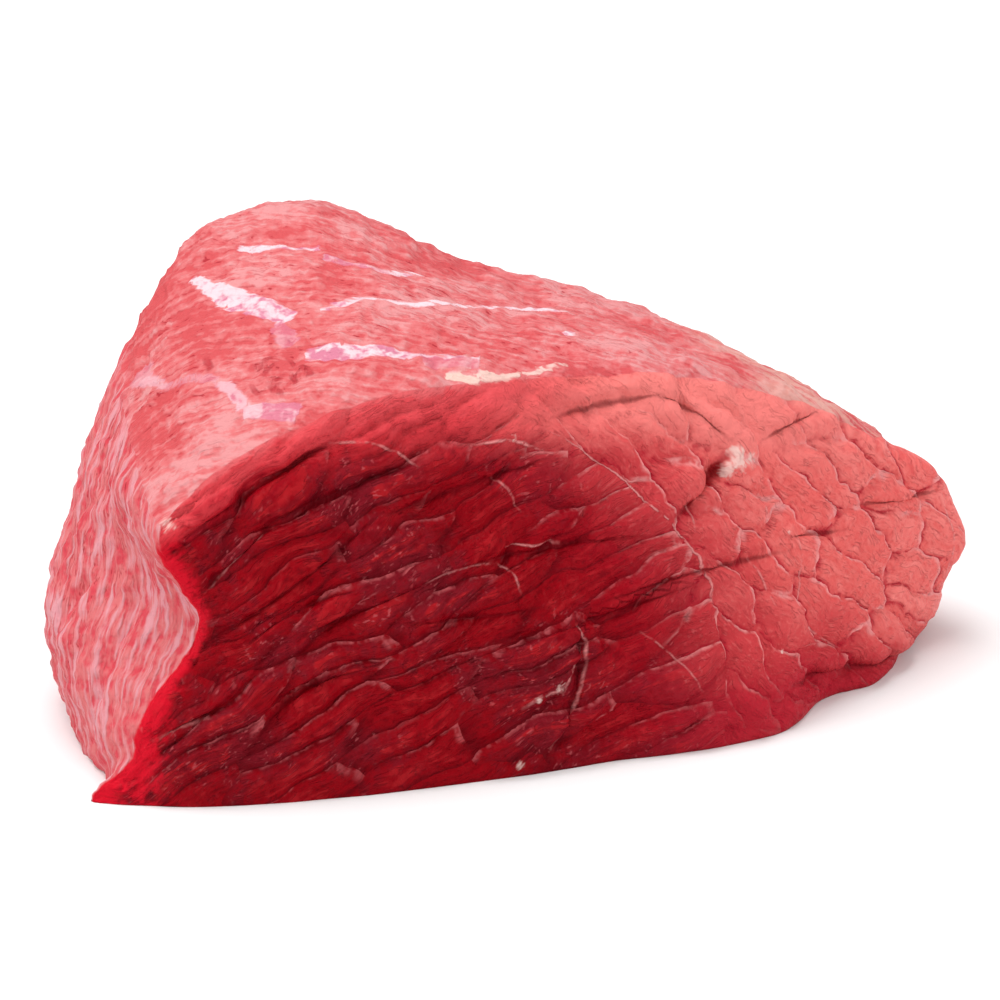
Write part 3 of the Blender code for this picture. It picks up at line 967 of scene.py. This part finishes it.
@dataclass(frozen=True)
class Tones:
    """The colours of raw beef, linear, with the colours of painted shade, highlights and glow among them."""

    cut: Colour = (0.265, 0.0015, 0.006)
    cut_dusky: Colour = (0.185, 0.006, 0.013)
    # a lighter red of painted light on the raised middles of the bundles
    cut_lit_ridge: Colour = (0.36, 0.009, 0.014)
    # the pale red of painted highlights and glints on the cut
    cut_highlight: Colour = (0.50, 0.095, 0.105)
    # the dark red of painted shade in the creases and hollows of the cut
    crease: Colour = (0.105, 0.0008, 0.004)
    mid_red: Colour = (0.52, 0.040, 0.048)
    # the red of the lower right lip, also laid as painted shade in the creases between the cells
    lip_red_and_crease_shade: Colour = (0.40, 0.010, 0.024)
    pink: Colour = (0.71, 0.112, 0.104)
    pink_pale: Colour = (0.80, 0.195, 0.178)
    band: Colour = (0.58, 0.040, 0.050)
    # the bright red of a painted glow at the cut's thin edges: beside the blunt end and at the left of the
    # strip below the top
    lit_rim: Colour = (0.60, 0.006, 0.020)
    edge: Colour = (0.62, 0.070, 0.080)
    top: Colour = (0.62, 0.150, 0.155)
    top_deep: Colour = (0.56, 0.080, 0.087)
    top_pale: Colour = (0.66, 0.280, 0.285)
    end: Colour = (0.59, 0.060, 0.080)
    end_fibre: Colour = (0.66, 0.305, 0.340)
    dash: Colour = (0.38, 0.025, 0.035)
    thread: Colour = (0.76, 0.270, 0.265)
    fat: Colour = (0.80, 0.560, 0.510)
    cream: Colour = (0.76, 0.560, 0.480)
    skin: Colour = (0.80, 0.620, 0.670)
    film: Colour = (0.60, 0.210, 0.310)
    beige: Colour = (0.66, 0.380, 0.310)


@dataclass(frozen=True)
class Zones:
    """Where a tone begins and where it is full, in millimetres.

    Attributes:
        turn, glow, near_chain: Right of the chain: the tapered end's cut, the red of the
            long bundles beside it and the red of the cells beside it.
        chain_foot, chain_head: The heights of the chain's two ends.
        low, low_tip: The red of the lower cells, and the length where it sinks, so that the tip stays pale:
            painted light on the tip, which faces the right.
        lip, lip_sink, lip_end: The red lip at the lower right.
        smooth_back, smooth_end: The smooth pale corner of the top.
        dull_back, dull_end: The redder corner of the top.
        dry, flecked: The beige part of the top, and the part with dark flecks.
        rim_to_band, band_to_pink: The tones of the strip below the top, which at the left starts in the
            painted glow colour.
        band, band_low, band_end: Its depth, where it is thinner and where it ends.
        edge, edge_end: The pink strip next to the top.
        wrap, wrap_end: Where the top's pink comes over the front's edge.
        foot: The height of the red foot of the blunt end's edge.
    """

    turn: Point2 = (-20.0, 9.0)
    glow: Point2 = (-40.0, 0.0)
    near_chain: Point2 = (34.0, 0.0)
    chain_foot: Point2 = (30.0, 36.0)
    chain_head: Point2 = (74.0, 66.0)
    low: Point2 = (36.0, 14.0)
    low_tip: Point2 = (160.0, 200.0)
    lip: Point2 = (20.0, 8.0)
    lip_sink: Point2 = (155.0, 190.0)
    lip_end: Point2 = (205.0, 190.0)
    smooth_back: Point2 = (37.0, 22.0)
    smooth_end: Point2 = (100.0, 75.0)
    dull_back: Point2 = (38.0, 50.0)
    dull_end: Point2 = (48.0, 30.0)
    dry: Point2 = (138.0, 168.0)
    flecked: Point2 = (150.0, 120.0)
    rim_to_band: Point2 = (30.0, 70.0)
    band_to_pink: Point2 = (75.0, 125.0)
    band: Point2 = (17.0, 5.0)
    band_low: Point2 = (80.0, 35.0)
    band_end: Point2 = (185.0, 150.0)
    edge: Point2 = (8.0, 1.0)
    edge_end: Point2 = (120.0, 85.0)
    wrap: Point2 = (10.0, 30.0)
    wrap_end: Point2 = (105.0, 70.0)
    foot: Point2 = (14.0, 2.0)


@dataclass(frozen=True)
class FineGrain:
    """Sizes of the fine noises in millimetres.

    Attributes:
        mottle: Lumps in every direction, for each millimetre.
        side_streak, cut_streak: Length and width of streaks on the pale sides and the cut.
        side_grit, cut_grit: Length and width of specks there.
        split: The half width of the lines drawn where a noise passes its middle.
    """

    mottle: float = 0.38
    side_streak: Point2 = (13.0, 1.8)
    cut_streak: Point2 = (9.0, 1.3)
    side_grit: Point2 = (2.6, 1.0)
    cut_grit: Point2 = (1.3, 0.8)
    split: float = 0.03


@dataclass(frozen=True)
class RawMeat:
    """The finish of raw beef, moist, its tones laid by the grain.

    Attributes:
        tones: Its colours.
        roughness, roughness_spread: The roughness and how much it varies.
        specular: How bright its gloss is.
        relief: Metres for each millimetre of the fine relief.
    """

    tones: Tones = Tones()
    roughness: float = 0.40
    roughness_spread: float = 0.4
    specular: float = 0.035
    relief: float = MM

    def material(self) -> bpy.types.Material:
        """Builds the material."""
        made = bpy.data.materials.new("raw_beef")
        made.use_nodes = True
        tree = Tree(made.node_tree)
        shader = made.node_tree.nodes["Principled BSDF"]
        paint = MeatPaint(tree, self.tones)
        colour, height = paint.surface()
        tree.feed(shader.inputs["Base Color"], colour)
        tree.feed(shader.inputs["Roughness"], self.roughness + paint.rough * self.roughness_spread)
        bump = tree.node("ShaderNodeBump", None, {"Strength": 1.0, "Distance": self.relief, "Height": height})
        tree.feed(shader.inputs["Normal"], bump)
        shader.inputs["Specular IOR Level"].default_value = self.specular
        return made


class MeatPaint:
    """The colour and the fine relief of every side of the meat."""

    def __init__(self, tree: Tree, tones: Tones) -> None:
        """Reads the masks and makes the noises that several sides share."""
        self.tree = tree
        self.tones = tones
        self.zones = Zones()
        grain = FineGrain()
        place = self.read("place")
        self.x, self.y, self.z = tree.split(place)
        self.grain = Grain(*tree.split(self.read("grain")), *tree.split(self.read("cell_grain")))
        self.cut, self.end, self.top = tree.split(self.read("side"))
        self.fat, self.pit, self.front = tree.split(self.read("spot"))
        self.outside, self.cream, self.solid = tree.split(self.read("skin"))
        self.below = self.read("below", "Fac")
        self.a, self.b, _ = tree.split(self.read("cube"))
        self.is_cut = self.cut.more_than(0.5)
        run = tree.mix(self.end.more_than(0.5), self.read("top_fibre"), self.read("end_fibre"))
        flesh = tree.mix(self.grain.past.more_than(0.0), self.read("grain"), self.read("cell_grain"))
        self.run = tree.mix(self.is_cut, run, flesh)
        self.mottle = tree.noise(tree.vector_math("MULTIPLY", place, (grain.mottle,) * 3), 2.0)
        self.streak = self.fibre_noise(grain.side_streak, grain.cut_streak, 2.0)
        self.grit = self.fibre_noise(grain.side_grit, grain.cut_grit, 1.0)
        self.rough = self.mottle - 0.5
        self.stray = self.streak - 0.5
        self.big = self.grain.strand(LONG, CELL)
        # thin lines where the streaks pass their middle, sunk in the fine relief and darkened as painted
        # shade
        self.fine = abs(self.stray).step(grain.split, 0.0) * self.mottle.step(0.42, 0.58)

    def read(self, name: str, output: str = "Vector") -> Wire:
        """An attribute of the mesh: its vector, or its one value with the output Fac."""
        return self.tree.node("ShaderNodeAttribute", {"attribute_name": name}, None, output)

    def fibre_noise(self, side: Point2, cut: Point2, detail: float) -> Wire:
        """Noise drawn out along the fibres.

        Args:
            side: Length and width of its lumps on the top and the blunt end.
            cut: Length and width of its lumps on the cut face.
            detail: How many finer layers it has.
        """
        per_mm = [(1 / length, 1 / width, 0.0) for length, width in (side, cut)]
        scale = self.tree.mix(self.is_cut, *per_mm)
        return self.tree.noise(self.tree.vector_math("MULTIPLY", self.run, scale), detail, 0, True)

    def layered(self, colour: Wire | Colour, *layers: tuple[Wire, Wire | Colour]) -> Wire:
        """Lays colours one over another.

        Args:
            colour: The lowest colour.
            layers: The share of each further colour, from 0 to 1, and the colour.
        """
        for share, above in layers:
            colour = self.tree.mix(share, colour, above)
        return colour

    def blend(self, mottle: float, streak: float, broad: float) -> Wire:
        """The noises mixed by their weights."""
        parts = zip((self.mottle, self.streak, self.grain.broad), (mottle, streak, broad))
        first, *others = [noise * weight for noise, weight in parts if weight]
        return sum(others, first)

    def drawn(self, name: str, ragged: float, line: Point2, reach: Point2) -> Wire:
        """The share of what a set of lines draws.

        Args:
            name: The attribute of the lines.
            ragged: How far the mottling moves them, in half widths.
            line: Where they begin and where they are full, in half widths.
            reach: The same in millimetres.
        """
        side, near, strength = self.tree.split(self.read(name))
        return abs(side + self.rough * ragged).step(*line) * near.step(*reach) * strength.least(1.0)

    def long_bundles(self) -> Wire:
        """The colour of the deep red cut at the left, with painted shade in its creases and hollows, painted
        light on its ridges, and painted highlights and glints.
        """
        t, grain, mottle, big = self.tones, self.grain, self.mottle, self.big
        dusky = self.blend(0.4, 0, 0.6) + (big.tone - 0.5) * 0.1
        # painted light: lighter red on the raised middles of the bundles, away from their borders
        lit_ridge = big.border.step(0.0, 0.3) * self.blend(0.6, 0.4, 0)
        # painted highlights along the bundles' upper right rims, and painted glints in small specks
        highlights = big.lit_rim(0.10) * big.tone.step(0.3, 0.7) * 0.8
        glints = self.grit.step(0.56, 0.74) * mottle.step(0.48, 0.64) * grain.broad.step(0.42, 0.58)
        return self.layered(
            t.cut,
            (dusky.step(0.42, 0.62), t.cut_dusky),
            (lit_ridge.step(0.42, 0.62), t.cut_lit_ridge),
            # painted shade: darker where the fine relief is low, in thin sunk lines and below each bundle
            (self.blend(0.5, 0.5, 0).step(0.46, 0.34) * 0.5, t.crease),
            (self.fine * 0.35, t.crease),
            (big.crease(0.14) * 0.7, t.crease),
            (grain.past.step(*self.zones.glow) * 0.4, t.lip_red_and_crease_shade),
            (highlights * mottle.step(0.38, 0.62), t.cut_highlight),
            (glints * 0.55, t.cut_highlight))

    def cells(self) -> Wire:
        """The colour of the pink cut at the tapered end, with painted shade in its creases, painted
        highlights on the cells' upper right rims and a tip kept pale as painted light.
        """
        t, zones, big, x, z = self.tones, self.zones, self.big, self.x, self.z
        tone = self.blend(0.6, 0.4, 0) + (big.tone - 0.5) * 0.3
        drift = self.grain.broad - 0.5
        near = (self.grain.past + drift * 24 - (z - 50) * 0.4).step(*zones.near_chain)
        # the red of the lower cells sinks towards the tip, which stays pale pink as painted light
        low = (z + drift * 14 + x.step(*zones.low_tip) * 25).step(*zones.low)
        # painted shade in the creases between the cells and in thin sunk lines
        crease = big.crease(0.12) * 0.9 + self.fine * 0.3
        lip = (z + self.rough * 8 + x.step(*zones.lip_sink) * 9).step(*zones.lip)
        return self.layered(
            t.pink,
            (tone.step(0.30, 0.72), t.pink_pale),
            ((near + low).least(1.0) * 0.95, t.mid_red),
            (self.grit.step(0.48, 0.25) * 0.3, t.mid_red),
            (self.grit.step(0.55, 0.75) * 0.2, t.pink_pale),
            (crease * self.mottle.step(0.32, 0.55), t.lip_red_and_crease_shade),
            # pale lines along the cells' upper right rims in the thread's colour: partly their pale outlines,
            # partly a painted highlight where the raised end catches the light
            (big.lit_rim(0.10) * self.mottle.step(0.30, 0.55) * 0.9, t.thread),
            (lip * x.step(*zones.lip_end) * 0.85, t.lip_red_and_crease_shade))

    def pale_sides(self) -> Wire:
        """The colour of the top and of the blunt end, with fine fibres."""
        t, zones, x, y = self.tones, self.zones, self.x, self.y
        smooth = y.step(*zones.smooth_back) * x.step(*zones.smooth_end)
        dull = y.step(*zones.dull_back) * x.step(*zones.dull_end)
        soft = self.blend(0.35, 0.25, 0.4) + (smooth - dull) * 0.05
        dry = x.step(*zones.dry) * self.blend(0, 0.5, 0.5).step(0.40, 0.56)
        top = self.layered(
            t.top_deep,
            (soft.step(0.42, 0.51), t.top),
            (soft.step(0.50, 0.60) * 0.8, t.top_pale),
            (dry * 0.6, t.beige))
        end = self.layered(
            t.end,
            (self.blend(0.6, 0.4, 0).step(0.36, 0.56), t.top),
            (self.blend(0, 0.55, 0.45).step(0.47, 0.62) * 0.8, t.end_fibre))
        dashes = self.grit.step(0.35, 0.27) * self.streak.step(0.52, 0.44) * self.mottle.step(0.54, 0.46)
        cracks = abs(self.streak - 0.46).step(0.02, 0.005) * self.grain.broad.step(0.50, 0.58) * self.top
        splits = abs(self.streak - 0.44).step(0.028, 0.006) * self.mottle.step(0.42, 0.54) * self.end
        dark = (dashes + cracks * 0.5 + splits * 0.8).least(1.0) * (1 - smooth) * x.step(*zones.flecked)
        return self.layered(top, (self.end, end), (dark * 0.9, t.dash))

    def front_edges(self, colour: Wire) -> Wire:
        """Lays the brighter red and the pink over the cut below the top; at the left the brighter red starts
        in the painted glow colour of the thin edge.
        """
        t, zones, x = self.tones, self.zones, self.x
        depth = self.below + self.rough * 7 + self.stray * 6 + x.step(*zones.band_low) * 5
        bright = self.layered(
            t.lit_rim, (x.step(*zones.rim_to_band), t.band), (x.step(*zones.band_to_pink), t.pink_pale))
        share = depth.step(*zones.band) * x.step(*zones.band_end) * (self.front * 0.45 + 0.5)
        edge = (self.below + (self.rough + self.stray) * 5).step(*zones.edge) * x.step(*zones.edge_end)
        return self.layered(colour, (share, bright), (edge * self.front * 0.75, t.edge))

    def blunt_edge_glow(self) -> Wire:
        """The share of the bright red on the cut beside the blunt end: a painted glow, where light shows
        through the thin edge.
        """
        on_front, on_end = (self.a + 1) * HALF_LENGTH, (self.b + 1) * HALF_DEPTH
        width = self.z.step(*self.zones.foot) * 4 + 11
        lit_rim = (on_front / width + self.rough * 1.4 + self.stray * 0.8).step(1.0, 0.2)
        lit_rim = lit_rim * (on_end / 1.8 + self.rough * 0.8).step(1.0, 0.6)
        return lit_rim * (1 - self.top) * self.below.step(2.0, 6.0)

    def surface(self) -> tuple[Wire, Wire]:
        """The base colour and the fine height of the whole surface."""
        rough, past, zones = self.rough, self.grain.past, self.zones
        cut = self.layered(self.long_bundles(), ((past + rough * 10).step(*zones.turn), self.cells()))
        wrap = self.x.step(*zones.wrap) * self.x.step(*zones.wrap_end)
        bare = (self.below - wrap + rough * 3 + self.stray * 2).step(-2.0, 1.0)
        flesh = (self.cut + rough * 0.3).step(0.4, 0.6) * (1 - self.front * (1 - bare))
        # the painted red glow beside the blunt end lies over the rest
        colour = self.layered(
            self.pale_sides(), (flesh, self.front_edges(cut)), (self.blunt_edge_glow(), self.tones.lit_rim))
        seam = abs(past).step(0.5, 4.0)
        height = self.streak * (0.35 - past.step(-4.0, 4.0) * self.cut * 0.2) * seam
        height = height + self.streak * self.end * 0.5
        height = height + self.grit * 0.3 + self.mottle * 0.7 - self.fine * self.cut * 0.15
        colour, marks = self.marks(colour)
        return colour, height + marks

    def marks(self, colour: Wire) -> tuple[Wire, Wire]:
        """Lays the painted shade of the creases, threads, wrinkles, silver skin, the painted shade of the
        pits, and nodules with a painted highlight among them, over a colour.

        Args:
            colour: The colour below.

        Returns:
            The colour and the height of the marks.
        """
        t, zones, rough = self.tones, self.zones, self.rough
        # painted shade along the grooves of the cut face
        crease = self.drawn("crease", 0.64, (0.6, 0.0), (2.5, 1.2)) * self.front
        thread = self.drawn("thread", 1.92, (1.5, 0.2), (1.8, 0.9))
        wrinkle = self.drawn("wrinkle", 1.28, (1.6, 0.4), (1.6, 0.6)) * self.top
        chain = abs(self.grain.past + rough * 1.6).step(0.45, 0.1) * self.mottle.step(0.36, 0.5)
        chain = chain * self.z.step(*zones.chain_foot) * self.z.step(*zones.chain_head)
        thread = (thread * (self.mottle + self.grit * 0.3).step(0.45, 0.75)).most(chain) * self.front
        frayed = self.outside + rough * 1.6 * (self.cream + 1.1) + self.stray * 2.4
        skin = frayed.step(0.35, -0.35) * self.top.step(0.2, 0.8) * self.solid
        silver = self.blend(0.5, 0, 0.5).step(0.40, 0.52) * self.solid
        # painted shade: the pits, which are hollows, are darkened to the deep red of the cut
        pit = (self.pit + rough * 0.48).step(0.9, 0.5) * self.front
        nodule = (self.fat + rough * 1.44 + (self.grit - 0.5) * 1.4).step(1.25, 0.25)
        colour = self.layered(
            colour,
            (crease * 0.6, t.crease),
            (thread * 0.8, t.thread),
            (wrinkle * 0.75, t.dash),
            (skin * 0.85, self.layered(t.film, (silver, t.skin), (self.cream, t.cream))),
            (pit * 0.8, t.cut),
            (nodule * 0.8, t.fat))
        return colour, thread * 0.3 + skin * 0.15 + nodule * 0.2 - (crease + wrinkle) * 0.3


@dataclass(frozen=True)
class Lamp:
    """A square soft light, its place and side in metres and its power in watts."""

    name: str
    place: Point3
    side: float
    power: float


@dataclass
class Studio:
    """The camera at the photograph's viewing angle, a pale floor and soft light.

    Attributes:
        azimuth, elevation: The camera's direction in degrees.
        distance, target: Its distance and what it looks at, in the block's millimetres.
        lens, sensor, far_clip: Its lens and sensor in millimetres, its reach in metres.
        floor_size: The floor's side in metres.
        floor_tone, floor_roughness, floor_specular: The floor's finish.
        light_target: What the lamps point at, in metres.
        sky_strength: The even light from all round.
        lamps: The soft lights.
    """

    azimuth: float = -15.0
    elevation: float = 22.0
    distance: float = 1100.0
    target: Point3 = (98.0, 50.0, 43.5)
    lens: float = 172.3
    sensor: float = 36.0
    far_clip: float = 50.0
    floor_size: float = 8.0
    floor_tone: float = 0.86
    floor_roughness: float = 0.9
    floor_specular: float = 0.1
    light_target: Point3 = (0.0, 0.0, 0.05)
    sky_strength: float = 0.55
    lamps: Sequence[Lamp] = (
        Lamp("overhead_light", (-0.3, 0.25, 1.5), 1.2, 20.0),
        Lamp("right_light", (1.3, -1.0, 0.9), 0.9, 10.5),
        Lamp("left_light", (-1.5, -0.3, 0.8), 0.9, 9.0))

    def back_direction(self) -> np.ndarray:
        """The unit vector from the target towards the camera."""
        a, e = math.radians(self.azimuth), math.radians(self.elevation)
        return np.array((math.sin(a) * math.cos(e), -math.cos(a) * math.cos(e), math.sin(e)))

    def camera(self, meat: Meat) -> None:
        """Adds the camera."""
        data = bpy.data.cameras.new("camera")
        data.lens = self.lens
        data.sensor_width = self.sensor
        data.clip_end = self.far_clip
        item = bpy.data.objects.new("camera", data)
        bpy.context.collection.objects.link(item)
        back = self.back_direction()
        item.location = meat.placed(np.array(self.target) + back * self.distance)
        item.rotation_mode = "QUATERNION"
        item.rotation_quaternion = Vector(-back).to_track_quat("-Z", "Y")
        bpy.context.scene.camera = item

    def floor(self) -> None:
        """Adds the pale floor."""
        half = self.floor_size / 2
        mesh = bpy.data.meshes.new("floor")
        corners = [(-half, -half, 0), (half, -half, 0), (half, half, 0), (-half, half, 0)]
        mesh.from_pydata(corners, [], [(0, 1, 2, 3)])
        material = bpy.data.materials.new("pale_floor")
        material.use_nodes = True
        shader = material.node_tree.nodes["Principled BSDF"]
        shader.inputs["Base Color"].default_value = (*[self.floor_tone] * 3, 1)
        shader.inputs["Roughness"].default_value = self.floor_roughness
        shader.inputs["Specular IOR Level"].default_value = self.floor_specular
        mesh.materials.append(material)
        item = bpy.data.objects.new("floor", mesh)
        bpy.context.collection.objects.link(item)

    def light(self, lamp: Lamp) -> None:
        """Adds a light that looks at the middle of the meat."""
        data = bpy.data.lights.new(lamp.name, "AREA")
        data.shape = "SQUARE"
        data.size = lamp.side
        data.energy = lamp.power
        item = bpy.data.objects.new(lamp.name, data)
        bpy.context.collection.objects.link(item)
        item.location = lamp.place
        item.rotation_mode = "QUATERNION"
        inward = Vector(self.light_target) - Vector(lamp.place)
        item.rotation_quaternion = inward.to_track_quat("-Z", "Y")

    def build(self, meat: Meat) -> None:
        """Adds everything round the meat."""
        self.camera(meat)
        self.floor()
        for lamp in self.lamps:
            self.light(lamp)
        world = bpy.data.worlds.new("studio")
        world.use_nodes = True
        background = world.node_tree.nodes["Background"]
        background.inputs["Color"].default_value = (1, 1, 1, 1)
        background.inputs["Strength"].default_value = self.sky_strength
        bpy.context.scene.world = world
        bpy.context.scene.view_settings.view_transform = "Standard"


def build_meat(meat: Meat) -> bpy.types.Object:
    """Makes the meat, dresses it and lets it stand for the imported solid."""
    material = RawMeat().material()
    raised = MeatRelief(material).apply(meat.mesh())
    raised.name = "beef_chuck_meat"
    item = bpy.data.objects.new("beef_chuck_meat", raised)
    bpy.context.collection.objects.link(item)
    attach(item, BODY)
    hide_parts(NODE)
    LOG.info("%s: %d points, %d faces", item.name, len(raised.vertices), len(raised.polygons))
    return item


def main() -> None:
    """Builds the scene."""
    logging.basicConfig(level=logging.INFO, format="%(message)s")
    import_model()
    meat = Meat()
    build_meat(meat)
    Studio().build(meat)


if __name__ == "__main__":
    main()
